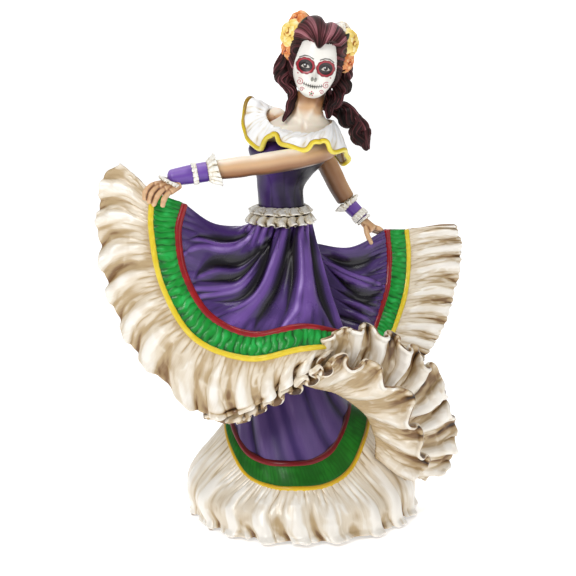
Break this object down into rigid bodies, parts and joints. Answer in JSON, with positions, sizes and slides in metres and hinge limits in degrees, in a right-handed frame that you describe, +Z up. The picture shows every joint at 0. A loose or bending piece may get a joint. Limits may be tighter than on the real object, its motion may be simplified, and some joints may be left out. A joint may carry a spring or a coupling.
{
  "type": "dancing figurine",
  "caption": "Papier-mache skeleton-faced dancer in a swirling ruffled skirt held out by both hands, with lace cuffs, collar and flowers in the hair.",
  "frame": {"origin": "middle of the object's outline on the surface it stands on", "axes": "+Z up through the figure's height, -Y the way the figure faces, +X its left"},
  "size_m": [0.1726, 0.1218, 0.24],
  "materials": {
    "felt": "matte",
    "board": "matte",
    "wire": "satin",
    "pulp": "matte",
    "skin": "satin",
    "white_paint": "satin",
    "purple_paint": "gloss",
    "red_paint": "gloss",
    "green_paint": "gloss",
    "yellow_paint": "gloss",
    "cream_paint": "gloss",
    "lace_paint": "satin",
    "hair_paint": "gloss",
    "orange_paint": "satin",
    "leaf_paint": "satin"
  },
  "bodies": {
    "root": {"foot_pad": "felt", "spine_wire": "wire", "arm_wire": "wire", "foot_board": "board", "skirt_core": "pulp", "torso": "skin", "head": "white_paint", "left_arm": "skin", "right_arm": "skin", "left_hand": "skin", "right_hand": "skin", "bodice": "purple_paint", "lower_skirt": "purple_paint", "lower_red_cord": "red_paint", "lower_yellow_cord": "yellow_paint", "lower_green_band": "green_paint", "lower_flounce": "cream_paint", "front_panel": "purple_paint", "front_red_cord": "red_paint", "front_yellow_cord": "yellow_paint", "front_green_band": "green_paint", "front_flounce": "cream_paint", "side_panel": "purple_paint", "side_red_cord": "red_paint", "side_yellow_cord": "yellow_paint", "side_green_band": "green_paint", "side_flounce": "cream_paint", "inner_curl_flounce": "cream_paint", "outer_curl_flounce": "cream_paint", "waist_lace_lower": "lace_paint", "waist_lace_upper": "lace_paint", "collar_trim": "yellow_paint", "collar_ruffle": "white_paint", "left_cuff": "purple_paint", "left_cuff_braid": "lace_paint", "left_cuff_lace": "lace_paint", "left_wrist_lace": "lace_paint", "right_cuff": "purple_paint", "right_cuff_braid": "lace_paint", "right_cuff_lace": "lace_paint", "right_wrist_lace": "lace_paint", "hair_cap": "hair_paint", "hair_lock_left": "hair_paint", "hair_lock_right": "hair_paint", "ponytail": "hair_paint", "rose_left_yellow": "yellow_paint", "rose_left_peach": "orange_paint", "rose_left_orange": "orange_paint", "rose_right_yellow": "yellow_paint", "rose_right_cream": "white_paint", "rose_right_orange": "orange_paint", "leaf_left": "leaf_paint", "leaf_right": "leaf_paint"}
  },
  "joints": []
}
